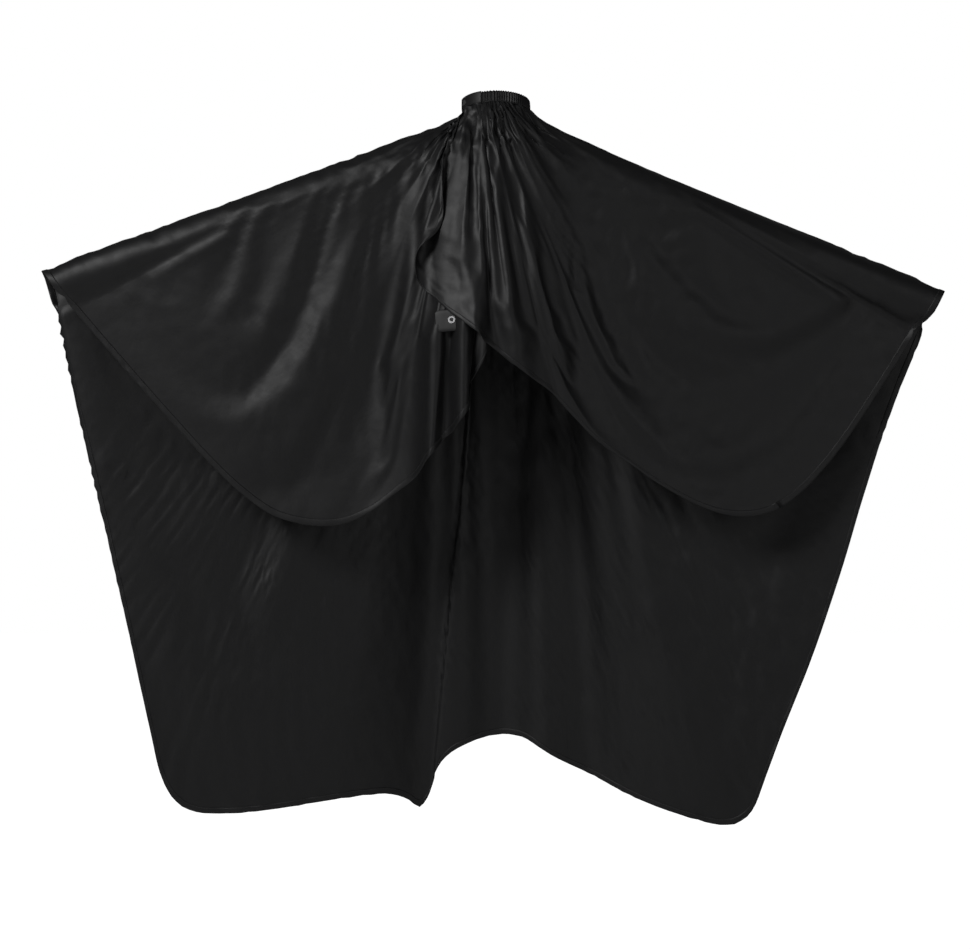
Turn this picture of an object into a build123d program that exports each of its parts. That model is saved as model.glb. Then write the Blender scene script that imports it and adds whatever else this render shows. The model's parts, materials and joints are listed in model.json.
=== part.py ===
"""Barber cape: one large sheet of thin cloth with a neck hole, draped over outstretched arms.

The opening is at the wearer's back.  The right back panel laps over the left one and closes with a
press stud at the neck.  +X is the wearer's right arm, +Y is the front, +Z is up, and the origin is the
centre of the neck opening.  All lengths are millimetres and all angles are degrees.
"""

import os
from math import cos, exp, pi, radians, sin

from build123d import *

# Neckband: a gathered elastic casing round the neck, lower at the throat than at the nape.
NECK_TILT = 14.0
BAND_INNER_RADIUS = 49.0
CASING_THICKNESS = 0.8
ELASTIC_THICKNESS = 1.2
BAND_HEIGHT = 18.0
ELASTIC_HEIGHT = 14.0
STITCH_RADIUS = 0.4
STITCH_HEIGHTS = (-8.0, 8.0)

# Angles round the neck, anticlockwise from above: 0 is the right arm and 90 the throat.
BAND_START = -118.0
BAND_END = 188.0
UNDERLAP_START = 188.5
UNDERLAP_END = 236.0
OVERLAP_START = -120.0
OVERLAP_END = -166.0
SNAP_ANGLE = -152.0
FOLD_ANGLE = -119.0

# Flat tabs on the two ends of the band, which the press stud joins.
TAB_THICKNESS = 1.6
UNDERLAP_RADIUS = 47.7
OVERLAP_RADIUS = 53.1

# Press stud, 9 mm size.  Each half is sunk a little into the cloth it clamps.
SNAP_HEIGHT = -1.0
SNAP_RADIUS = 4.4
SNAP_SINK = 0.4
CAP_THICKNESS = 1.3
SOCKET_THICKNESS = 1.6
SOCKET_BORE = 2.9
STUD_BASE = 1.0
STUD_HEAD_RADIUS = 1.9
STUD_HEAD_HEIGHT = 2.6
POST_THICKNESS = 1.1
POST_BORE = 2.0

# Cloth, drawn thicker than the real 0.1 mm so that it makes sound solids.
CLOTH = 1.6
SEAM_GAP = 1.2

# The cloth's path over the arms, trunk and shoulders.  Points are (x, z).
LEFT_WRIST = (-702.0, -253.0)
RIGHT_WRIST = (693.0, -284.0)
NECK_EDGE_RADIUS = 51.0
NECK_EDGE_HEIGHT = -11.5
UNDERLAP_EDGE_RADIUS = 48.4
OVERLAP_EDGE_RADIUS = 53.6
SHOULDER_PUFF = 11.0
ARM_RADIUS = 42.0
ARM_WRAP = 28.0
CHEST_DEPTH = 145.0
CHEST_DROP = 230.0
BACK_DEPTH = 112.0
BACK_DROP = 350.0
OVERLAP_LIFT = 9.0
TRUNK_HALF_WIDTH = 200.0
NECK_BLEND = 0.16

# Edge of the front panel, from the left wrist to the right wrist.
FRONT_EDGE = (
    LEFT_WRIST,
    (-498.0, -1102.0),
    (-130.0, -1062.0),
    (-15.0, -984.0),
    (388.0, -1128.0),
    RIGHT_WRIST,
)
FRONT_CORNER_RADIUS = 90.0

# Edges of the two short back panels, from the wrist to the foot of the back opening.
FOLD_FOOT = (4.0, -366.0)
SLIT_FOOT = (-4.0, -366.0)
LEFT_EDGE = (LEFT_WRIST, (-300.0, -705.0), (-120.0, -560.0), SLIT_FOOT)
RIGHT_EDGE = (RIGHT_WRIST, (392.0, -702.0), (90.0, -430.0), FOLD_FOOT)
BACK_CORNER_RADIUS = 100.0
FLAP_CORNER = (-92.0, -296.0)
FLAP_BULGE = 51.0
FOLD_GAP = 1.5

# Turned-back lower corner of the left panel, with its own press stud half.
CORNER_TAB = ((-38.0, -317.0), (-38.0, -343.0), (-82.0, -346.0), (-76.0, -314.0))
CORNER_TAB_LIFT = 3.9
CORNER_SNAP = (-67.0, -330.0)
CORNER_SNAP_RADIUS = 5.5
CORNER_SNAP_BORE = 3.0

# Stations that each sheet is drawn through.
ACROSS = 14
ALONG = 7


def mix(a, b, t):
    """The value a fraction t of the way from a to b."""
    return a + (b - a) * t


def smooth(t):
    """0 to 1 with flat ends."""
    t = min(max(t, 0.0), 1.0)
    return t * t * (3 - 2 * t)


def neck_plane():
    """The tilted plane of the neckband, its Y axis pointing to the throat."""
    tilt = radians(NECK_TILT)
    return Plane(origin=(0, 0, 0), x_dir=(1, 0, 0), z_dir=(0, sin(tilt), cos(tilt)))


def on_neck(angle, radius, height):
    """A point round the neck, as (x, y, z)."""
    tilt = radians(NECK_TILT)
    forward = radius * sin(radians(angle))
    x = radius * cos(radians(angle))
    return x, forward * cos(tilt) + height * sin(tilt), height * cos(tilt) - forward * sin(tilt)


def ring_sector(start, end, inner, outer, height):
    """Part of a ring round the neck, from one angle to a larger one."""
    profile = Pos((inner + outer) / 2, 0, 0) * (Plane.XZ * Rectangle(outer - inner, height))
    return neck_plane() * Rot(0, 0, start) * revolve(profile, Axis.Z, end - start)


def thread_arc(start, end, radius, height):
    """One row of stitching round the neck."""
    profile = Pos(radius, 0, height) * (Plane.XZ * Circle(STITCH_RADIUS))
    return neck_plane() * Rot(0, 0, start) * revolve(profile, Axis.Z, end - start)


def ridge_line(x):
    """Height of the straight line from the neckband to the wrist, over the arm at x."""
    wrist = LEFT_WRIST if x < 0 else RIGHT_WRIST
    t = (abs(x) - NECK_EDGE_RADIUS) / (abs(wrist[0]) - NECK_EDGE_RADIUS)
    return mix(-BAND_HEIGHT / 2, wrist[1], max(t, 0.0))


def front_depth(x, drop):
    """How far forward the cloth stands: it wraps the arm, then hangs off the chest."""
    swell = exp(-((x / TRUNK_HALF_WIDTH) ** 2)) * smooth(drop / CHEST_DROP)
    return arm_depth(drop) + (CHEST_DEPTH - ARM_RADIUS) * swell


def back_depth(x, drop):
    """How far back the cloth stands: it wraps the arm, then slopes down the shoulder blades."""
    swell = exp(-((x / TRUNK_HALF_WIDTH) ** 2)) * min(drop / BACK_DROP, 1.0)
    return arm_depth(drop) + (BACK_DEPTH - ARM_RADIUS) * swell


def arm_depth(drop):
    """How far the cloth stands from the arm's centre plane at a distance below its ridge."""
    return ARM_RADIUS * (1 - exp(-drop / ARM_WRAP))


def hang(neck, edge, t, depth):
    """A point a fraction t of the way from the neck to the edge of the cloth."""
    x = mix(neck[0], edge[0], t)
    z = mix(neck[2], edge[1], t)
    drop = max(ridge_line(x) - z, 0.0)
    y = mix(neck[1], depth(x, drop), smooth(t / NECK_BLEND))
    puff = SHOULDER_PUFF * sin(pi * min(t * 2.5, 1.0)) * (1 - smooth(drop / 120))
    return x, y, z + puff


def outline(corners, radius):
    """The rounded edge of a panel, as a function from 0..1 to (x, z)."""
    wire = FilletPolyline(*[(x, z) for x, z in corners], radius=radius)

    def at(u):
        point = wire.position_at(u)
        return point.X, point.Y

    return at


FRONT_OUTLINE = outline(FRONT_EDGE, FRONT_CORNER_RADIUS)
LEFT_OUTLINE = outline(LEFT_EDGE, BACK_CORNER_RADIUS)
RIGHT_OUTLINE = outline(RIGHT_EDGE, BACK_CORNER_RADIUS)


def front_surface(s, t):
    """The long front panel; s runs from the left arm to the right arm."""
    u = (1 - cos(pi * s)) / 2
    edge = FRONT_OUTLINE(u)
    neck = on_neck(mix(180, 0, u), NECK_EDGE_RADIUS, NECK_EDGE_HEIGHT)
    x, y, z = hang(neck, edge, t, front_depth)
    return x, y + SEAM_GAP / 2, z


def left_surface(s, t):
    """The left back panel; s runs from the left arm to the edge under the overlap."""
    u = 1 - cos(pi * s / 2)
    edge = LEFT_OUTLINE(u)
    angle = mix(180, UNDERLAP_END, u)
    under = smooth((angle - 182) / 10)
    radius = mix(NECK_EDGE_RADIUS, UNDERLAP_EDGE_RADIUS, under)
    neck = on_neck(angle, radius, NECK_EDGE_HEIGHT)
    return hang(neck, edge, t, lambda x, drop: -back_depth(x, drop) - SEAM_GAP / 2)


def over_depth(x, drop):
    """The right back panel's depth: near the middle it stands clear of the left panel."""
    lift = OVERLAP_LIFT * smooth((260 - x) / 200)
    return -back_depth(x, drop) - lift * min(drop / 60, 1.0) - SEAM_GAP / 2


def fold_line(t):
    """The straight line on which the free edge of the back opening turns."""
    top = on_neck(FOLD_ANGLE, OVERLAP_EDGE_RADIUS - 1, NECK_EDGE_HEIGHT)
    foot_drop = ridge_line(FOLD_FOOT[0]) - FOLD_FOOT[1]
    foot = (FOLD_FOOT[0], over_depth(FOLD_FOOT[0], foot_drop), FOLD_FOOT[1])
    return tuple(mix(a, b, t) for a, b in zip(top, foot))


def bend_to_fold(point, at_fold, t, weight, gap):
    """Move a point so that its panel's inner boundary lies along the fold line."""
    target = fold_line(t)
    shift = [(b - a) * weight for a, b in zip(at_fold, target)]
    return point[0] + shift[0] + gap * weight, point[1] + shift[1], point[2] + shift[2]


def right_base(s, t):
    """The right back panel before it is fitted to the fold line."""
    u = 1 - cos(pi * s / 2)
    edge = RIGHT_OUTLINE(u)
    neck = on_neck(mix(0, BAND_START, u), NECK_EDGE_RADIUS, NECK_EDGE_HEIGHT)
    return hang(neck, edge, t, over_depth)


def right_surface(s, t):
    """The right back panel; s runs from the right arm to the fold line."""
    return bend_to_fold(right_base(s, t), right_base(1, t), t, s**5, FOLD_GAP)


def flap_base(s, t):
    """The free edge of the right back panel before it is fitted to the fold line."""
    foot = (mix(FOLD_FOOT[0], FLAP_CORNER[0], s), mix(FOLD_FOOT[1], FLAP_CORNER[1], s))
    neck = on_neck(mix(OVERLAP_START, OVERLAP_END, s), OVERLAP_EDGE_RADIUS, NECK_EDGE_HEIGHT)
    bulge = FLAP_BULGE * sin(pi * t**1.5) * s**1.5
    x, y, z = hang(neck, foot, t, over_depth)
    return x - bulge, y, z


def flap_surface(s, t):
    """The turning part of the right back panel; s runs from the fold line to the free edge."""
    return bend_to_fold(flap_base(s, t), flap_base(0, t), t, (1 - s) ** 5, -FOLD_GAP)


def grid_normal(rows, i, j, side):
    """Unit normal of a grid of points at one of them, pointing away from the wearer."""
    last_i, last_j = len(rows) - 1, len(rows[0]) - 1
    across = Vector(*rows[min(i + 1, last_i)][j]) - Vector(*rows[max(i - 1, 0)][j])
    along = Vector(*rows[i][min(j + 1, last_j)]) - Vector(*rows[i][max(j - 1, 0)])
    normal = across.cross(along).normalized()
    return normal if normal.Y * side > 0 else -normal


def triangles(a, b, c, d):
    """The two flat faces that fill a four-cornered gap."""
    return [Face(Wire.make_polygon([a, b, c])), Face(Wire.make_polygon([a, c, d]))]


def sheet(surface, thickness, side, s_range=(0.0, 1.0), across=ACROSS, along=ALONG):
    """A solid sheet of flat facets over a surface, thickened away from the wearer.

    side is +1 on the wearer's front and -1 on the back.
    """
    stations = [mix(*s_range, i / across) for i in range(across + 1)]
    rows = [[surface(s, j / along) for j in range(along + 1)] for s in stations]
    inner = [[Vector(*point) for point in row] for row in rows]
    outer = [
        [inner[i][j] + grid_normal(rows, i, j, side) * thickness for j in range(along + 1)]
        for i in range(across + 1)
    ]
    faces = []
    for skin in (inner, outer):
        for i in range(across):
            for j in range(along):
                faces += triangles(skin[i][j], skin[i + 1][j], skin[i + 1][j + 1], skin[i][j + 1])
    for i in range(across):
        for j in (0, along):
            faces += triangles(inner[i][j], inner[i + 1][j], outer[i + 1][j], outer[i][j])
    for j in range(along):
        for i in (0, across):
            faces += triangles(inner[i][j], inner[i][j + 1], outer[i][j + 1], outer[i][j])
    return Solid(Shell(faces))


def snap_disc(angle, radius, outer, height, bore=0.0, at=SNAP_HEIGHT):
    """A disc on the neckband whose inner face is at a radius and whose axis is radial."""
    disc = Cylinder(outer, height, align=(Align.CENTER, Align.CENTER, Align.MIN))
    if bore:
        disc -= Cylinder(bore, 3 * height)
    return neck_plane() * Rot(0, 0, angle) * Pos(radius, 0, at) * Rot(0, 90, 0) * disc


def neckband():
    """The band's cloth, elastic and stitching, and the flat tabs on its ends."""
    inner = BAND_INNER_RADIUS
    tape = inner + CASING_THICKNESS
    outer = tape + ELASTIC_THICKNESS
    skin = outer + CASING_THICKNESS
    threads = [thread_arc(BAND_START, BAND_END, skin + STITCH_RADIUS, z) for z in STITCH_HEIGHTS]
    return {
        "neckband_inner_casing": ring_sector(BAND_START, BAND_END, inner, tape, BAND_HEIGHT),
        "neck_elastic": ring_sector(BAND_START, BAND_END, tape, outer, ELASTIC_HEIGHT),
        "neckband_outer_casing": ring_sector(BAND_START, BAND_END, outer, skin, BAND_HEIGHT),
        "neckband_stitching": Compound(children=threads),
    }


def neck_snap_and_tabs():
    """The overlap and underlap tabs, and the four pieces of the press stud that joins them."""
    under_face = UNDERLAP_RADIUS + TAB_THICKNESS
    over_face = OVERLAP_RADIUS + TAB_THICKNESS
    cap = snap_disc(SNAP_ANGLE, over_face - SNAP_SINK, SNAP_RADIUS, CAP_THICKNESS)
    socket_at = OVERLAP_RADIUS + SNAP_SINK - SOCKET_THICKNESS
    socket = snap_disc(SNAP_ANGLE, socket_at, SNAP_RADIUS, SOCKET_THICKNESS, SOCKET_BORE)
    stud = snap_disc(SNAP_ANGLE, under_face - SNAP_SINK, SNAP_RADIUS, STUD_BASE)
    stud += snap_disc(SNAP_ANGLE, under_face - SNAP_SINK, STUD_HEAD_RADIUS, STUD_HEAD_HEIGHT)
    post_at = UNDERLAP_RADIUS + SNAP_SINK - POST_THICKNESS
    post = snap_disc(SNAP_ANGLE, post_at, SNAP_RADIUS, POST_THICKNESS, POST_BORE)
    over = ring_sector(OVERLAP_END, OVERLAP_START, OVERLAP_RADIUS, over_face, BAND_HEIGHT)
    under = ring_sector(UNDERLAP_START, UNDERLAP_END, UNDERLAP_RADIUS, under_face, BAND_HEIGHT)
    return {
        "overlap_tab": over - cap - snap_disc(SNAP_ANGLE, socket_at, SNAP_RADIUS, SOCKET_THICKNESS),
        "underlap_tab": under - stud - snap_disc(SNAP_ANGLE, post_at, SNAP_RADIUS, POST_THICKNESS),
        "snap_cap": cap,
        "snap_socket": socket,
        "snap_stud": stud,
        "snap_post": post,
    }


def corner_surface(s, t):
    """The turned-back corner, lying just outside the left panel."""
    top_left, foot_left, foot_right, top_right = CORNER_TAB
    x = mix(mix(top_left[0], top_right[0], s), mix(foot_left[0], foot_right[0], s), t)
    z = mix(mix(top_left[1], top_right[1], s), mix(foot_left[1], foot_right[1], s), t)
    return x, -back_depth(x, ridge_line(x) - z) - CORNER_TAB_LIFT, z


def corner_pieces():
    """The turned-back corner and the two rings of its press stud half."""
    tab = sheet(corner_surface, CLOTH, -1, across=3, along=3)
    x, z = CORNER_SNAP
    drop = ridge_line(x) - z
    y = -back_depth(x, drop) - CORNER_TAB_LIFT
    slope_x = back_depth(x + 1, drop) - back_depth(x, drop)
    slope_z = back_depth(x, drop - 1) - back_depth(x, drop)
    facing = Plane(origin=(x, y, z), z_dir=Vector(-slope_x, -1, -slope_z))
    ring = Cylinder(CORNER_SNAP_RADIUS, SOCKET_THICKNESS, align=(Align.CENTER, Align.CENTER, Align.MIN))
    seat = facing * Pos(0, 0, CLOTH - SNAP_SINK) * ring
    back_seat = facing * Pos(0, 0, SNAP_SINK - POST_THICKNESS) * Cylinder(
        CORNER_SNAP_RADIUS, POST_THICKNESS, align=(Align.CENTER, Align.CENTER, Align.MIN)
    )
    bore = facing * Cylinder(CORNER_SNAP_BORE, 20)
    return {
        "corner_tab": tab - seat - back_seat,
        "corner_snap_socket": seat - bore,
        "corner_snap_post": back_seat - bore,
    }


def panels():
    """The cloth, divided so that its collision follows the drape, and where its free edge turns."""
    return {
        "front_panel_far_left": sheet(front_surface, CLOTH, 1, (0.0, 0.299), across=10),
        "front_panel_mid_left": sheet(front_surface, CLOTH, 1, (0.301, 0.499), across=6),
        "front_panel_mid_right": sheet(front_surface, CLOTH, 1, (0.501, 0.699), across=6),
        "front_panel_far_right": sheet(front_surface, CLOTH, 1, (0.701, 1.0), across=10),
        "left_back_panel": sheet(left_surface, CLOTH, -1),
        "right_back_panel": sheet(right_surface, CLOTH, -1),
        "overlap_flap": sheet(flap_surface, CLOTH, -1, across=6),
    }


def main():
    os.makedirs("parts", exist_ok=True)
    for nodes in (panels(), neckband(), neck_snap_and_tabs(), corner_pieces()):
        for name, shape in nodes.items():
            export_step(shape, f"parts/{name}.step")


main()
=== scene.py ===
"""Looks of the barber cape: a simulated sheet of black taffeta, its neckband, stitches and press studs."""

import json
import math

import bpy
import numpy as np
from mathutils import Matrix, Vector
from mathutils.bvhtree import BVHTree

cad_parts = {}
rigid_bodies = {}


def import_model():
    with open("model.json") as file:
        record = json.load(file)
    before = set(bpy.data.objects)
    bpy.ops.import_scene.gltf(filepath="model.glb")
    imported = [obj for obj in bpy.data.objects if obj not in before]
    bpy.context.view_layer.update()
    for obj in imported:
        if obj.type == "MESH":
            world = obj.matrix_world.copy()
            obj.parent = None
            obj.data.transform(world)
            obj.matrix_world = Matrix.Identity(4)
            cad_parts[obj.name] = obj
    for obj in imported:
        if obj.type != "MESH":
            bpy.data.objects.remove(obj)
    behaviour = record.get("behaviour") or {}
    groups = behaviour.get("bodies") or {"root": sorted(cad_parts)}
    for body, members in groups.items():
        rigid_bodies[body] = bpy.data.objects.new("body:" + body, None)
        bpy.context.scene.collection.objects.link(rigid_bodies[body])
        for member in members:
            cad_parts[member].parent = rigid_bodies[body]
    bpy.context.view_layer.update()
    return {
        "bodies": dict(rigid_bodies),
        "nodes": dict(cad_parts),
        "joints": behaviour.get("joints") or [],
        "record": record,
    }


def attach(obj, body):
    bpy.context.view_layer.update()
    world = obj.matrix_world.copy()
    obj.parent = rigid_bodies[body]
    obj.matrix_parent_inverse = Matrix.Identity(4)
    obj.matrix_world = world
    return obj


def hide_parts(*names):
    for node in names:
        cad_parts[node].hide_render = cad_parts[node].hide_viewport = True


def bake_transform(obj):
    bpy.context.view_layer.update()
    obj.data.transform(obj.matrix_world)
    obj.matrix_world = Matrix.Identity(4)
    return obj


# Flat cut of the cloth, metres.  Angles are degrees from the front centre, positive to +X.
HALF_WIDTH = 0.75
FRONT_DROP = 1.045
BACK_DROP = 0.465
FRONT_CORNER = 0.12
BACK_CORNER = 0.24
NECK_HOLE = 0.090
LEFT_WRIST_ANGLE = -84.0
RIGHT_WRIST_ANGLE = 81.0
LEFT_LIMIT = -187.0
RIGHT_LIMIT = 192.0
HEM_WIDTH = 0.009

# Mesh of the cloth.
COLUMNS = 240
ROWS = 46

# Neck ring, as in the CAD part.
NECK_TILT = math.radians(14.0)
EDGE_RADIUS = 0.051
EDGE_HEIGHT = -0.0085

# Drape that the simulation starts from: (x, z) of the cloth's edges.
LEFT_WRIST = (-0.702, -0.253)
RIGHT_WRIST = (0.693, -0.284)
FRONT_EDGE = [
    LEFT_WRIST,
    (-0.668, -0.405),
    (-0.606, -0.668),
    (-0.550, -0.925),
    (-0.518, -1.080),
    (-0.435, -1.100),
    (-0.200, -1.062),
    (-0.145, -1.075),
    (-0.112, -1.105),
    (-0.092, -1.000),
    (0.035, -0.970),
    (0.100, -1.025),
    (0.300, -1.105),
    (0.395, -1.120),
    (0.430, -1.010),
    (0.518, -0.792),
    (0.608, -0.475),
    RIGHT_WRIST,
]
RIGHT_EDGE = [
    RIGHT_WRIST,
    (0.600, -0.430),
    (0.490, -0.580),
    (0.400, -0.640),
    (0.300, -0.615),
    (0.160, -0.510),
    (0.090, -0.420),
    (0.000, -0.360),
    (-0.045, -0.326),
    (-0.092, -0.286),
    (-0.104, -0.255),
]
LEFT_EDGE = [
    LEFT_WRIST,
    (-0.560, -0.420),
    (-0.385, -0.615),
    (-0.290, -0.645),
    (-0.215, -0.630),
    (-0.090, -0.520),
    (-0.015, -0.460),
    (0.004, -0.365),
]

# Direction in the cut and the place round the neck where it is gathered in.
NECK_TURNS = [
    (LEFT_LIMIT, 236.0),
    (LEFT_WRIST_ANGLE, 168.0),
    (0.0, 88.0),
    (RIGHT_WRIST_ANGLE, -4.0),
    (108.0, -66.0),
    (168.0, -118.0),
    (RIGHT_LIMIT, -166.0),
]
GATHER_COLUMNS = 5.0
ARM_RADIUS = 0.040
ARM_WRAP = 0.028
CHEST = 0.125
BACK = 0.110
LIFT = 0.012

FRAMES = 45

# Small shapes laid on the settled cloth.  A gather is (folds round the neck, reach, depth).
CRINKLE = 0.0016
PUCKER = 0.0022
LAYER_GAP = 0.004
GATHERS = [(13, 0.20, 0.0070), (29, 0.09, 0.0045), (57, 0.03, 0.0022)]

# Direction in the cut where the overlapping piece of cloth begins.
SPLIT_ANGLE = 118.0

# Hems and their stitches.
HEM_HALF = 0.0008
STITCH_PITCH = 0.0042
STITCH_LENGTH = 0.0030
STITCH_RADIUS = 0.0003

# Neckband.  Rings are (start angle, end angle, inner radius, outer radius, height, steps).
BAND_RING = (-118, 188, 0.049, 0.0518, 0.018, 1400)
BAND_RIBS = 78
BAND_RIB_DEPTH = 0.0010
ELASTIC_RING = (-118, 188, 0.0499, 0.0509, 0.014, 300)
OVER_TAB_RING = (-166, -115, 0.0531, 0.0546, 0.018, 60)
UNDER_TAB_RING = (188.5, 236, 0.0477, 0.0492, 0.018, 60)

# Lights are (place, target, size, power).
LIGHTS = {
    "key": ((-2.4, -2.6, 1.7), (-0.2, 0, -0.4), 1.2, 75),
    "fill": ((2.2, -3.2, 0.2), (0, 0, -0.5), 2.0, 12),
}

# Floor and camera.
FLOOR = -1.45
CAMERA_DISTANCE = 4.0
CAMERA_HEIGHT = -0.45
CENTRE_X = -0.017
CENTRE_Z = -0.566
FIELD_WIDTH = 1.503
AMBIENT = 0.05


def smooth(t):
    t = np.clip(t, 0.0, 1.0)
    return t * t * (3 - 2 * t)


def on_neck(angle, radius, height):
    """Points round the tilted neck ring; 0 degrees is +X and 90 the throat."""
    turn = np.radians(angle)
    forward = radius * np.sin(turn)
    x = radius * np.cos(turn)
    y = forward * math.cos(NECK_TILT) + height * math.sin(NECK_TILT)
    z = height * math.cos(NECK_TILT) - forward * math.sin(NECK_TILT)
    return np.stack([x, y, z], axis=-1)


def cut_point(angle):
    """Where a ray from the neck centre leaves the flat cut: a rectangle with rounded corners."""
    back = abs(angle) > 90
    dx, dy = math.sin(math.radians(angle)), -math.cos(math.radians(angle))
    drop = BACK_DROP if back else FRONT_DROP
    reach = min(HALF_WIDTH / max(abs(dx), 1e-6), drop / max(abs(dy), 1e-6))
    x, y = dx * reach, dy * reach
    corner = BACK_CORNER if back else FRONT_CORNER
    cx = HALF_WIDTH - corner
    cy = drop - corner
    if abs(x) > cx and abs(y) > cy:
        sx, sy = math.copysign(cx, x), math.copysign(cy, y)
        b = dx * sx + dy * sy
        c = sx * sx + sy * sy - corner**2
        reach = b + math.sqrt(b * b - c)
        x, y = dx * reach, dy * reach
    return x, y


def rounded(points, passes=3):
    """A polyline with its corners cut again and again until it is a smooth curve."""
    points = np.array(points)
    for _ in range(passes):
        near = 0.75 * points[:-1] + 0.25 * points[1:]
        far = 0.25 * points[:-1] + 0.75 * points[1:]
        inner = np.stack([near, far], axis=1).reshape(-1, 2)[1:-1]
        points = np.concatenate([points[:1], inner, points[-1:]])
    return points


def along(points, fractions):
    """Points at fractions of the length of a rounded polyline."""
    points = rounded(points)
    steps = np.hypot(*np.diff(points, axis=0).T)
    at = np.concatenate([[0], np.cumsum(steps)]) / steps.sum()
    return np.stack([np.interp(fractions, at, points[:, k]) for k in range(2)], axis=-1)


def column_angles():
    """Directions of the mesh's columns, evenly spaced along the cut's edge."""
    fine = np.linspace(LEFT_LIMIT, RIGHT_LIMIT, 4001)
    cut = np.array([cut_point(a) for a in fine])
    length = np.concatenate([[0], np.cumsum(np.hypot(*np.diff(cut, axis=0).T))])
    even = np.interp(np.linspace(0, length[-1], COLUMNS), length, fine)
    mixed = 0.75 * even + 0.25 * np.linspace(LEFT_LIMIT, RIGHT_LIMIT, COLUMNS)
    wrists = np.interp([LEFT_WRIST_ANGLE, RIGHT_WRIST_ANGLE], fine, length)
    return mixed, fine, length, wrists


def edge_targets(angles, fine, length, wrists):
    """The draped edge point, neck angle and side (+1 front, -1 back) of each column."""
    arc = np.interp(angles, fine, length)
    left, right = wrists
    total = length[-1]
    front = (angles >= LEFT_WRIST_ANGLE) & (angles <= RIGHT_WRIST_ANGLE)
    edge = np.zeros((len(angles), 2))
    edge[front] = along(FRONT_EDGE, (arc[front] - left) / (right - left))
    is_left = angles < LEFT_WRIST_ANGLE
    is_right = angles > RIGHT_WRIST_ANGLE
    edge[is_left] = along(LEFT_EDGE, (left - arc[is_left]) / left)
    edge[is_right] = along(RIGHT_EDGE, (arc[is_right] - right) / (total - right))
    neck = np.interp(angles, *zip(*NECK_TURNS))
    return edge, neck, np.where(front, 1.0, -1.0)


def ridge(x):
    """Height of the line along the top of the arms."""
    left = (np.abs(x) - EDGE_RADIUS) / (-LEFT_WRIST[0] - EDGE_RADIUS)
    right = (np.abs(x) - EDGE_RADIUS) / (RIGHT_WRIST[0] - EDGE_RADIUS)
    left_fall = left * (LEFT_WRIST[1] - EDGE_HEIGHT)
    right_fall = right * (RIGHT_WRIST[1] - EDGE_HEIGHT)
    fall = np.where(x < 0, left_fall, right_fall)
    return EDGE_HEIGHT + np.where(np.abs(x) < EDGE_RADIUS, 0.0, fall)


def flat_cut(angles):
    """Flat positions of the mesh, (COLUMNS, ROWS, 3), and each one's share of the way to the edge."""
    t = np.linspace(0, 1, ROWS - 1) ** 1.25
    cut = np.array([cut_point(a) for a in angles])
    reach = np.hypot(cut[:, 0], cut[:, 1])
    inner = NECK_HOLE / reach
    hem = HEM_WIDTH / reach
    rows = inner[:, None] + (1 - hem - inner)[:, None] * t[None, :]
    rows = np.concatenate([rows, np.ones((COLUMNS, 1))], axis=1)
    flat = np.zeros((COLUMNS, ROWS, 3))
    flat[:, :, 0] = cut[:, 0, None] * rows
    flat[:, :, 1] = -cut[:, 1, None] * rows
    return flat, (rows - inner[:, None]) / (1 - inner[:, None])


def start_drape(angles, share, edge, neck, side):
    """Draped positions that the simulation starts from."""
    over = smooth((angles - RIGHT_WRIST_ANGLE) / 60.0)
    gather = np.sin(np.arange(COLUMNS) * 2 * math.pi / GATHER_COLUMNS)
    wave = 0.0022 * gather
    radius = EDGE_RADIUS - 0.002 * (angles < LEFT_WRIST_ANGLE) + 0.002 * over + wave
    start = on_neck(neck, radius, EDGE_HEIGHT)
    x = start[:, 0, None] * (1 - share) + edge[:, 0, None] * share
    z = start[:, 2, None] * (1 - share) + edge[:, 1, None] * share
    bulge = 0.05 * np.sin(math.pi * share**1.5) * (smooth((angles - 168) / 24.0) ** 1.5)[:, None]
    x = x - bulge
    drop = np.maximum(ridge(x) - z, 0.0)
    arm = ARM_RADIUS * (1 - np.exp(-drop / ARM_WRAP))
    middle = np.exp(-((x / 0.20) ** 2))
    front = arm + (CHEST - ARM_RADIUS) * middle * smooth(drop / 0.23)
    back = arm + (BACK - ARM_RADIUS) * middle * np.minimum(drop / 0.33, 1.0)
    back = back + LIFT * over[:, None] * np.minimum(drop / 0.05, 1.0)
    y = np.where(side[:, None] > 0, front, -back)
    near = smooth(share / 0.16)
    y = start[:, 1, None] * (1 - near) + y * near
    folds = np.sin(np.radians(angles) * 23)[:, None] * 0.010 * smooth(share * 1.5)
    tucks = gather[:, None] * 0.006 * np.exp(-share / 0.08)
    y = y + side[:, None] * (folds + tucks) * np.minimum(drop / 0.05, 1.0)
    return np.stack([x, y, z], axis=-1)


def grid_faces(columns, rows):
    """Quads of a grid of vertices stored column by column."""
    i = np.arange(columns - 1)[:, None]
    j = np.arange(rows - 1)[None, :]
    a = i * rows + j
    return np.stack([a, a + 1, a + rows + 1, a + rows], axis=-1).reshape(-1, 4)


def new_mesh(name, vertices, faces):
    """A mesh object in the scene."""
    mesh = bpy.data.meshes.new(name)
    mesh.from_pydata([tuple(v) for v in vertices], [], [tuple(int(k) for k in f) for f in faces])
    mesh.update()
    obj = bpy.data.objects.new(name, mesh)
    bpy.context.scene.collection.objects.link(obj)
    return obj


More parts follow.
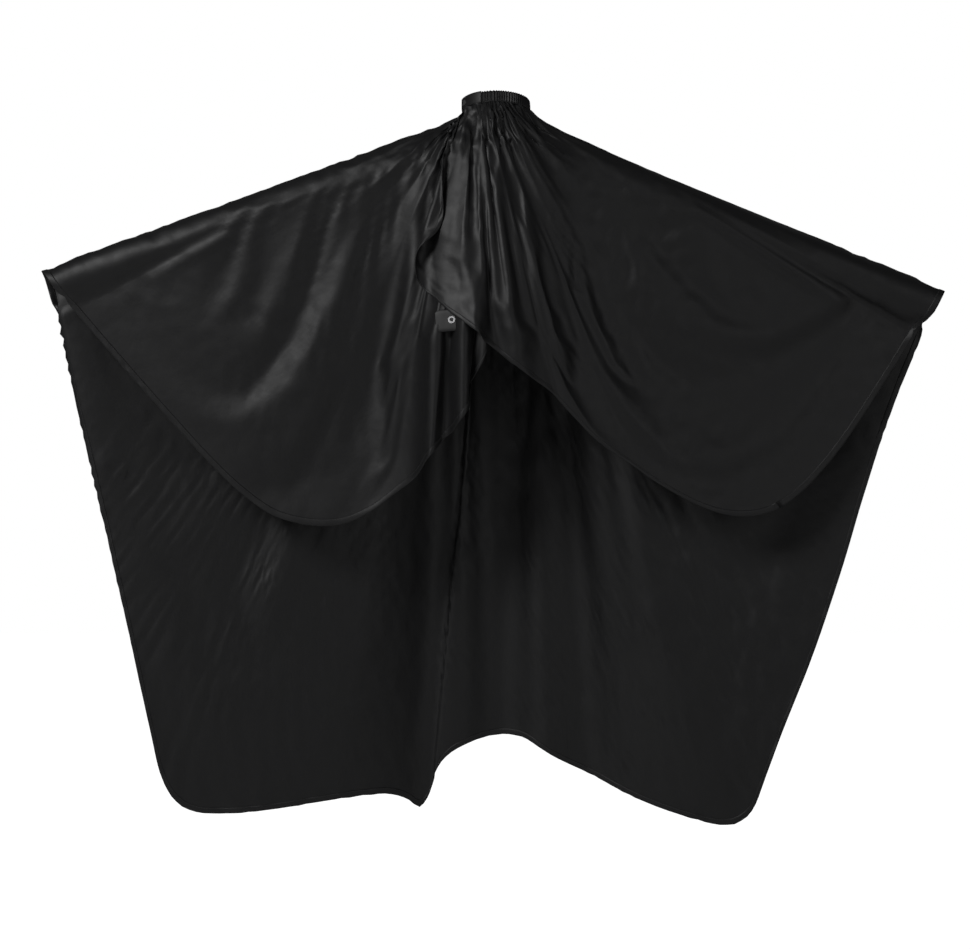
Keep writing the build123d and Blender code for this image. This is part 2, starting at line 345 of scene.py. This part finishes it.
def capsule(start, end, r0, r1):
    """A tapered round bar between two points, as vertices and faces."""
    start, end = np.array(start), np.array(end)
    axis = (end - start) / np.linalg.norm(end - start)
    side = np.cross(axis, [0, 1, 0])
    side /= np.linalg.norm(side)
    up = np.cross(axis, side)
    turns = np.linspace(0, 2 * math.pi, 24, endpoint=False)
    rings = []
    for k in np.linspace(0, 1, 25):
        centre = start + (end - start) * k
        radius = r0 + (r1 - r0) * k
        rings.append(centre + radius * (np.cos(turns)[:, None] * side + np.sin(turns)[:, None] * up))
    vertices = np.concatenate(rings)
    faces = []
    for k in range(24):
        for m in range(24):
            n = (m + 1) % 24
            faces.append((k * 24 + m, k * 24 + n, (k + 1) * 24 + n, (k + 1) * 24 + m))
    return vertices, faces


def make_wearer():
    """A rough body, present only while the cloth is simulated."""
    shapes = []
    for x, z in (LEFT_WRIST, RIGHT_WRIST):
        r0, r1 = 0.040, 0.022
        near = (math.copysign(0.03, x), 0, EDGE_HEIGHT - r0 - 0.010)
        far = (x, 0, z - r1 - 0.007)
        shapes.append(new_mesh("arm", *capsule(near, far, r0, r1)))
    bpy.ops.mesh.primitive_uv_sphere_add(segments=40, ring_count=24, location=(0, 0.010, -0.37))
    trunk = bpy.context.object
    trunk.scale = (0.165, 0.103, 0.325)
    bpy.ops.object.transform_apply(location=False, rotation=False, scale=True)
    shapes.append(trunk)
    for shape in shapes:
        modifier = shape.modifiers.new("Collision", "COLLISION")
        shape.collision.thickness_outer = 0.004
        shape.collision.thickness_inner = 0.02
        shape.collision.cloth_friction = 15
    return shapes


def drape(cloth, flat, pinned):
    """Simulates the cloth from its starting drape, with the flat cut as its resting shape."""
    cloth.shape_key_add(name="Basis")
    rest = cloth.shape_key_add(name="Flat")
    rest.data.foreach_set("co", flat.reshape(-1).astype(np.float32))
    group = cloth.vertex_groups.new(name="pin")
    group.add([int(k) for k in pinned], 1.0, "REPLACE")
    modifier = cloth.modifiers.new("Cloth", "CLOTH")
    settings = modifier.settings
    settings.quality = 6
    settings.mass = 0.12
    settings.air_damping = 1.0
    settings.tension_stiffness = 25
    settings.compression_stiffness = 25
    settings.shear_stiffness = 8
    settings.bending_stiffness = 0.1
    settings.tension_damping = 5
    settings.compression_damping = 5
    settings.shear_damping = 5
    settings.bending_damping = 0.5
    settings.vertex_group_mass = "pin"
    settings.pin_stiffness = 1.0
    settings.rest_shape_key = rest
    collision = modifier.collision_settings
    collision.use_collision = True
    collision.distance_min = 0.003
    collision.collision_quality = 2
    collision.use_self_collision = False
    modifier.point_cache.frame_start = 1
    modifier.point_cache.frame_end = FRAMES
    scene = bpy.context.scene
    scene.frame_start = 1
    scene.frame_end = FRAMES
    for frame in range(1, FRAMES + 1):
        scene.frame_set(frame)
    graph = bpy.context.evaluated_depsgraph_get()
    settled = cloth.evaluated_get(graph)
    co = np.zeros(len(cloth.data.vertices) * 3, np.float32)
    settled.data.vertices.foreach_get("co", co)
    cloth.modifiers.remove(modifier)
    cloth.shape_key_clear()
    cloth.data.vertices.foreach_set("co", co)
    cloth.data.update()
    return co.reshape(-1, 3)


def refine(grid):
    """Doubles a grid of points along both axes with smooth curves through the old ones."""
    for axis in (0, 1):
        grid = np.moveaxis(grid, axis, 0)
        padded = np.concatenate([2 * grid[:1] - grid[1:2], grid, 2 * grid[-1:] - grid[-2:-1]])
        middle = (9 * (padded[1:-2] + padded[2:-1]) - padded[:-3] - padded[3:]) / 16
        fine = np.zeros((2 * len(grid) - 1,) + grid.shape[1:])
        fine[::2] = grid
        fine[1::2] = middle
        grid = np.moveaxis(fine, 0, axis)
    return grid


def grid_normals(grid):
    """Unit normals of a grid of points."""
    across = np.gradient(grid, axis=0)
    down = np.gradient(grid, axis=1)
    normal = np.cross(across, down)
    return normal / np.maximum(np.linalg.norm(normal, axis=-1, keepdims=True), 1e-9)


def ripples(flat, seed, shortest, longest, count):
    """A field of small crossing waves over the flat cloth, about -1 to 1."""
    rng = np.random.default_rng(seed)
    total = np.zeros(flat.shape[:2])
    for _ in range(count):
        length = rng.uniform(shortest, longest)
        turn = rng.uniform(0, math.pi)
        phase = rng.uniform(0, 2 * math.pi)
        run = flat[:, :, 0] * math.cos(turn) + flat[:, :, 1] * math.sin(turn)
        total += np.sin(2 * math.pi * run / length + phase)
    return total / math.sqrt(count)


def crease(fine, flat_fine):
    """Adds the crisp small wrinkles of taffeta, and the puckers along its stitched hems."""
    normal = grid_normals(fine)
    patches = smooth(ripples(flat_fine, 3, 0.30, 0.60, 8) * 0.8 + 0.5)
    small = 1 - np.abs(ripples(flat_fine, 5, 0.030, 0.075, 9))
    height = CRINKLE * small * patches
    x, y = flat_fine[:, :, 0], flat_fine[:, :, 1]
    to_edge = np.minimum(HALF_WIDTH - np.abs(x), np.minimum(y + FRONT_DROP, BACK_DROP - y))
    pucker = np.sin(2 * math.pi * (x + y) / 0.024) * ripples(flat_fine, 8, 0.05, 0.12, 5)
    height += PUCKER * pucker * np.exp(-np.maximum(to_edge, 0) / 0.016)
    from_neck = np.hypot(x, y) - NECK_HOLE
    height = height * smooth(from_neck / 0.05)
    return fine + normal * (height + gathers(x, y, from_neck))[:, :, None]


def gathers(x, y, from_neck):
    """Folds that fan out from the gathered neck and die away down the cloth."""
    turn = np.arctan2(x, -y)
    folds = np.zeros(x.shape)
    for count, reach, depth in GATHERS:
        bend = 0.8 * np.sin(3 * turn + count) + 0.5 * np.sin(7 * turn)
        ridge_wave = 1 - 2 * np.abs(np.sin(count / 2 * turn + bend))
        run = from_neck / reach
        folds += depth * ridge_wave * smooth(run * 4) * np.exp(-run)
    return folds


def lay_over(upper, lower):
    """Pushes the overlapping panel clear of the panel beneath it."""
    columns, rows = lower.shape[:2]
    points = [Vector(p) for p in lower.reshape(-1, 3)]
    tree = BVHTree.FromPolygons(points, [tuple(int(k) for k in f) for f in grid_faces(columns, rows)])
    push = np.zeros(upper.shape[:2])
    for i, j in np.ndindex(*push.shape):
        x, y, z = upper[i, j]
        if x > 0.08 or z < -0.48:
            continue
        hit = tree.ray_cast(Vector((x, -1.0, z)), Vector((0, 1, 0)))[0]
        if hit is not None:
            push[i, j] = max(y - (hit.y - LAYER_GAP), 0.0)
    for _ in range(20):
        spread = np.pad(push, 1, mode="edge")
        average = (spread[:-2, 1:-1] + spread[2:, 1:-1] + spread[1:-1, :-2] + spread[1:-1, 2:]) / 4
        push = np.maximum(push, average)
    upper[:, :, 1] -= push
    return upper


def cloth_mesh(name, grid, flat_grid, material):
    """One piece of cloth, with its flat cut as texture coordinates in metres."""
    obj = new_mesh(name, grid.reshape(-1, 3), grid_faces(*grid.shape[:2]))
    layer = obj.data.uv_layers.new(name="cut")
    corners = np.zeros(len(obj.data.loops), np.int32)
    obj.data.loops.foreach_get("vertex_index", corners)
    layer.data.foreach_set("uv", flat_grid.reshape(-1, 3)[corners, :2].reshape(-1).astype(np.float32))
    finish_mesh(obj, material)
    return obj


def finish_mesh(obj, material):
    """Smooth shading and a material."""
    obj.data.polygons.foreach_set("use_smooth", [True] * len(obj.data.polygons))
    obj.data.materials.append(material)


def tube_mesh(name, sections, material, closed_ends=True):
    """A solid strip through closed cross-sections, given as (stations, points, 3)."""
    stations, points = sections.shape[:2]
    faces = []
    for i in range(stations - 1):
        for j in range(points):
            k = (j + 1) % points
            faces.append((i * points + j, i * points + k, (i + 1) * points + k, (i + 1) * points + j))
    if closed_ends:
        faces.append(tuple(range(points)))
        faces.append(tuple((stations - 1) * points + j for j in reversed(range(points))))
    obj = new_mesh(name, sections.reshape(-1, 3), faces)
    finish_mesh(obj, material)
    return obj


def hem_sections(edge, inner, normal):
    """Cross-sections of a turned hem between the cloth's edge and its inner line of stitching."""
    across = inner - edge
    face = [(0.0, 0.7), (0.15, 1.0), (0.85, 1.0), (1.0, 0.55)]
    profile = [(-0.06, 0.0)] + face + [(a, -b) for a, b in reversed(face)]
    rings = [edge + across * a + normal * (HEM_HALF * b) for a, b in profile]
    return np.stack(rings, axis=1)


def hem_strips(grid, normal, free_side):
    """Sections of the hems along the foot of a grid and down its free side, which is 0 or -1."""
    edge = grid[free_side]
    beside = grid[1 if free_side == 0 else -2]
    width = np.linalg.norm(beside - edge, axis=-1, keepdims=True)
    inner = edge + (beside - edge) * np.minimum(HEM_WIDTH / width, 3.0)
    foot = hem_sections(grid[:, -1], grid[:, -3], normal[:, -1])
    side = hem_sections(edge, inner, normal[free_side])[1:]
    return [foot, side]


def at_lengths(values, length, where):
    """Rows of a table at given lengths along a line."""
    return np.stack([np.interp(where, length, values[:, k]) for k in range(3)], axis=-1)


def stitch_row(inner, edge, normal):
    """Thread stitches along a hem, on both faces, as (stitches, 6, 3) corners of low ridges."""
    line = inner + (edge - inner) * 0.18
    steps = np.linalg.norm(np.diff(line, axis=0), axis=-1)
    length = np.concatenate([[0], np.cumsum(steps)])
    starts = np.arange(0.004, length[-1] - 0.004, STITCH_PITCH)
    a = at_lengths(line, length, starts)
    b = at_lengths(line, length, starts + STITCH_LENGTH)
    up = at_lengths(normal, length, starts)
    up /= np.linalg.norm(up, axis=-1, keepdims=True)
    side = np.cross(b - a, up)
    side *= STITCH_RADIUS / np.maximum(np.linalg.norm(side, axis=-1, keepdims=True), 1e-9)
    ridges = []
    for face in (1, -1):
        base = up * face * HEM_HALF
        top = up * face * (HEM_HALF + STITCH_RADIUS)
        corners = [a + base - side, a + base + side, b + base + side, b + base - side, a + top, b + top]
        ridges.append(np.stack(corners, axis=1))
    return np.concatenate(ridges)


def stitch_mesh(name, wedges, material):
    """All stitches of a piece as one mesh of small ridges."""
    faces = []
    for k in range(len(wedges)):
        n = 6 * k
        faces += [(n, n + 3, n + 5, n + 4), (n + 1, n + 4, n + 5, n + 2)]
        faces += [(n, n + 4, n + 1), (n + 3, n + 2, n + 5)]
    obj = new_mesh(name, wedges.reshape(-1, 3), faces)
    finish_mesh(obj, material)
    return obj


def band_sections(start, end, inner, outer, height, steps, ribs=0, rib_depth=0.0):
    """Cross-sections of cloth round the neck; ribs are its gathers."""
    angles = np.linspace(start, end, steps)
    turn = np.radians(angles)
    foot = [(0, -1), (0.35, -1.03), (0.7, -1.03), (1, -0.94), (1.08, -0.6)]
    head = [(across, -up) for across, up in reversed(foot)]
    profile = foot + [(1.1, 0)] + head + [(-0.05, 0)]
    sway = np.sin(turn * ribs + 1.7 * np.sin(turn * 5) + 1.1 * np.sin(turn * 13))
    rings = []
    for across, up in profile:
        radius = inner + (outer - inner) * across
        swell = rib_depth * sway * (1.0 if across > 0.5 else -0.5) * (1 - 0.35 * abs(up))
        lift = height / 2 * up + 0.35 * rib_depth * sway * up
        rings.append(on_neck(angles, radius + swell, lift))
    return np.stack(rings, axis=1)


def patch_sections(node):
    """Cross-sections of a small tab of folded cloth that lies where a CAD node lies."""
    points = np.array([node.matrix_world @ v.co for v in node.data.vertices])
    middle = points.mean(axis=0)
    axes = np.linalg.svd(points - middle, full_matrices=False)[2]
    half = np.abs((points - middle) @ axes.T).max(axis=0)
    around = np.linspace(0, 2 * math.pi, 24, endpoint=False)
    rings = []
    for run in np.linspace(-1, 1, 41):
        width = half[1] * (1 - 0.25 * abs(run) ** 10)
        across = np.sign(np.cos(around)) * np.abs(np.cos(around)) ** 0.35 * width
        up = np.sin(around) * half[2] * (1 - 0.3 * abs(run) ** 6)
        ring = middle + run * half[0] * axes[0] + across[:, None] * axes[1] + up[:, None] * axes[2]
        rings.append(ring)
    return np.stack(rings)


def node_material(name, base, roughness):
    """A Principled material; returns it with its nodes, links and shader."""
    material = bpy.data.materials.new(name)
    material.use_nodes = True
    nodes, links = material.node_tree.nodes, material.node_tree.links
    shader = nodes["Principled BSDF"]
    shader.inputs["Base Color"].default_value = (*base, 1)
    shader.inputs["Roughness"].default_value = roughness
    return material, nodes, links, shader


def bump(nodes, links, height, strength, distance, under=None):
    """The normal of a surface raised by a height, on top of another normal if there is one."""
    node = nodes.new("ShaderNodeBump")
    node.inputs["Strength"].default_value = strength
    node.inputs["Distance"].default_value = distance
    links.new(height, node.inputs["Height"])
    if under is not None:
        links.new(under, node.inputs["Normal"])
    return node.outputs["Normal"]


def taffeta():
    """Black taffeta: a fine plain weave with a soft sheen, crushed into faint creases."""
    material, nodes, links, shader = node_material("cloth", (0.0050, 0.0050, 0.0055), 0.52)
    shader.inputs["Sheen Weight"].default_value = 0.04
    shader.inputs["Sheen Roughness"].default_value = 0.45
    shader.inputs["Specular IOR Level"].default_value = 0.45
    place = nodes.new("ShaderNodeTexCoord")
    crush = nodes.new("ShaderNodeTexNoise")
    crush.noise_type = "RIDGED_MULTIFRACTAL"
    crush.inputs["Scale"].default_value = 14
    crush.inputs["Detail"].default_value = 4
    links.new(place.outputs["Object"], crush.inputs["Vector"])
    fine = nodes.new("ShaderNodeTexNoise")
    fine.inputs["Scale"].default_value = 60
    fine.inputs["Detail"].default_value = 5
    links.new(place.outputs["Object"], fine.inputs["Vector"])
    weave = nodes.new("ShaderNodeTexChecker")
    weave.inputs["Scale"].default_value = 1600
    links.new(place.outputs["UV"], weave.inputs["Vector"])
    soft = bump(nodes, links, crush.outputs[0], 0.35, 0.004)
    crisp = bump(nodes, links, fine.outputs[0], 0.30, 0.0015, soft)
    threads = bump(nodes, links, weave.outputs["Fac"], 0.05, 0.0002, crisp)
    links.new(threads, shader.inputs["Normal"])
    spread = nodes.new("ShaderNodeMapRange")
    spread.inputs["To Min"].default_value = 0.44
    spread.inputs["To Max"].default_value = 0.60
    links.new(fine.outputs[0], spread.inputs["Value"])
    links.new(spread.outputs["Result"], shader.inputs["Roughness"])
    return material


def plain(name, base, roughness, metallic=0.0):
    """A plain material with slight wear in its roughness."""
    material, nodes, links, shader = node_material(name, base, roughness)
    shader.inputs["Metallic"].default_value = metallic
    wear = nodes.new("ShaderNodeTexNoise")
    wear.inputs["Scale"].default_value = 300
    spread = nodes.new("ShaderNodeMapRange")
    spread.inputs["To Min"].default_value = roughness * 0.8
    spread.inputs["To Max"].default_value = roughness * 1.25
    links.new(wear.outputs[0], spread.inputs["Value"])
    links.new(spread.outputs["Result"], shader.inputs["Roughness"])
    return material


def area_light(name, location, target, size, power):
    """A soft square light aimed at a point."""
    light = bpy.data.lights.new(name, "AREA")
    light.size = size
    light.energy = power
    obj = bpy.data.objects.new(name, light)
    obj.location = location
    obj.rotation_euler = (Vector(target) - Vector(location)).to_track_quat("-Z", "Y").to_euler()
    bpy.context.scene.collection.objects.link(obj)


def glow(tree, strength, unseen):
    """White to the eye, but giving the cape only a little light."""
    path = tree.nodes.new("ShaderNodeLightPath")
    seen = tree.nodes.new("ShaderNodeMapRange")
    seen.inputs["To Min"].default_value = unseen
    seen.inputs["To Max"].default_value = 1.0
    tree.links.new(path.outputs["Is Camera Ray"], seen.inputs["Value"])
    tree.links.new(seen.outputs["Result"], strength)


def studio():
    """Pale floor, white surroundings, soft light from the upper left, and the camera."""
    bpy.ops.mesh.primitive_plane_add(size=14, location=(0, 0, FLOOR))
    floor = bpy.context.object
    floor.name = "floor"
    pale = plain("floor", (0.9, 0.9, 0.9), 0.8)
    shader = pale.node_tree.nodes["Principled BSDF"]
    shader.inputs["Emission Color"].default_value = (1, 1, 1, 1)
    glow(pale.node_tree, shader.inputs["Emission Strength"], 0.0)
    floor.data.materials.append(pale)
    world = bpy.data.worlds.new("studio")
    world.use_nodes = True
    nodes = world.node_tree.nodes
    nodes["Background"].inputs["Color"].default_value = (1, 1, 1, 1)
    glow(world.node_tree, nodes["Background"].inputs["Strength"], AMBIENT)
    bpy.context.scene.view_settings.view_transform = "Standard"
    bpy.context.scene.world = world
    for name, light in LIGHTS.items():
        area_light(name, *light)
    camera = bpy.data.cameras.new("camera")
    camera.lens = 36 * CAMERA_DISTANCE / FIELD_WIDTH
    obj = bpy.data.objects.new("camera", camera)
    obj.location = (CENTRE_X, -CAMERA_DISTANCE, CAMERA_HEIGHT)
    aim = Vector((CENTRE_X, 0, CENTRE_Z)) - obj.location
    obj.rotation_euler = aim.to_track_quat("-Z", "Y").to_euler()
    bpy.context.scene.collection.objects.link(obj)
    bpy.context.scene.camera = obj


def wrist_pins(angles):
    """The three vertices at the edge of the column nearest to each wrist."""
    pins = []
    for wrist in (LEFT_WRIST_ANGLE, RIGHT_WRIST_ANGLE):
        column = int(np.argmin(np.abs(angles - wrist)))
        pins += [column * ROWS + ROWS - k for k in (1, 2, 3)]
    return pins


def settle(flat, draped, angles):
    cloth = new_mesh("draping", draped.reshape(-1, 3), grid_faces(COLUMNS, ROWS))
    wearer = make_wearer()
    pinned = list(np.arange(COLUMNS) * ROWS) + wrist_pins(angles)
    settled = drape(cloth, flat, pinned).reshape(COLUMNS, ROWS, 3)
    for shape in wearer + [cloth]:
        bpy.data.objects.remove(shape)
    return settled


def finish_cloth(settled, flat, angles):
    """The settled cloth made fine and creased, with its flat cut and the column where it divides."""
    cut = refine(flat)
    fine = crease(refine(settled), cut)
    split = 2 * int(np.searchsorted(angles, SPLIT_ANGLE))
    under_end = 2 * int(np.searchsorted(angles, LEFT_WRIST_ANGLE))
    over = lay_over(fine[split:].copy(), fine[: under_end + 1])
    over[0] = fine[split]
    return np.concatenate([fine[:split], over]), cut, split


def trimmings(key, grid, normal, free_side, cloth_look, thread_look):
    """The hems and stitches of one piece of cloth."""
    made = []
    for index, sections in enumerate(hem_strips(grid, normal, free_side)):
        made.append(tube_mesh(f"{key}_hem_{index}", sections, cloth_look))
    wedges = stitch_row(grid[:, -3], grid[:, -1], normal[:, -1])
    made.append(stitch_mesh(f"{key}_hem_stitches", wedges, thread_look))
    return made


def dress_node(name, look):
    """Gives a CAD node that stays in view its material."""
    node = frame["nodes"][name]
    node.data.materials.clear()
    node.data.materials.append(look)


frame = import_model()

# The cloth, simulated and finished.
angles, fine_angles, arc, wrists = column_angles()
flat, share = flat_cut(angles)
draped = start_drape(angles, share, *edge_targets(angles, fine_angles, arc, wrists))
whole, cut, split = finish_cloth(settle(flat, draped, angles), flat, angles)

# Materials.
cloth_look = taffeta()
thread_look = plain("thread", (0.02, 0.02, 0.021), 0.5)
elastic_look = plain("elastic", (0.03, 0.03, 0.03), 0.7)
metal_look = plain("metal", (0.62, 0.62, 0.63), 0.24, 1.0)

# The two pieces of cloth with their hems and stitches.
parts = {"cape": (slice(0, split + 1), 0), "overlap": (slice(split, None), -1)}
normal = grid_normals(whole)
pieces = {}
for key, (part, _) in parts.items():
    pieces[key] = [cloth_mesh(f"{key}_cloth", whole[part], cut[part], cloth_look)]
for key, (part, free_side) in parts.items():
    pieces[key] += trimmings(key, whole[part], normal[part], free_side, cloth_look, thread_look)

# Neckband, tabs and press studs.
band = tube_mesh("neckband", band_sections(*BAND_RING, BAND_RIBS, BAND_RIB_DEPTH), cloth_look)
elastic = tube_mesh("elastic_tape", band_sections(*ELASTIC_RING), elastic_look)
over_tab = tube_mesh("overlap_band_tab", band_sections(*OVER_TAB_RING), cloth_look)
under_tab = tube_mesh("underlap_band_tab", band_sections(*UNDER_TAB_RING), cloth_look)
for name in ("snap_cap", "snap_socket", "snap_stud", "snap_post", "corner_snap_socket", "corner_snap_post"):
    dress_node(name, metal_look)
dress_node("neckband_stitching", thread_look)
corner = tube_mesh("corner_cloth_tab", patch_sections(frame["nodes"]["corner_tab"]), cloth_look)

# Bodies that the pieces ride, and the CAD nodes that they replace.
for obj in pieces["cape"] + [band, elastic, under_tab, corner]:
    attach(obj, "cape")
for obj in pieces["overlap"]:
    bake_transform(obj)
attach(over_tab, "flap")
strips = ["front_panel_far_left", "front_panel_mid_left", "front_panel_mid_right", "front_panel_far_right"]
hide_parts(*strips, "left_back_panel", "right_back_panel")
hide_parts("overlap_flap")
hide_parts("neckband_inner_casing", "neckband_outer_casing")
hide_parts("neck_elastic")
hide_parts("overlap_tab")
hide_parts("underlap_tab")
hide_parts("corner_tab")

studio()
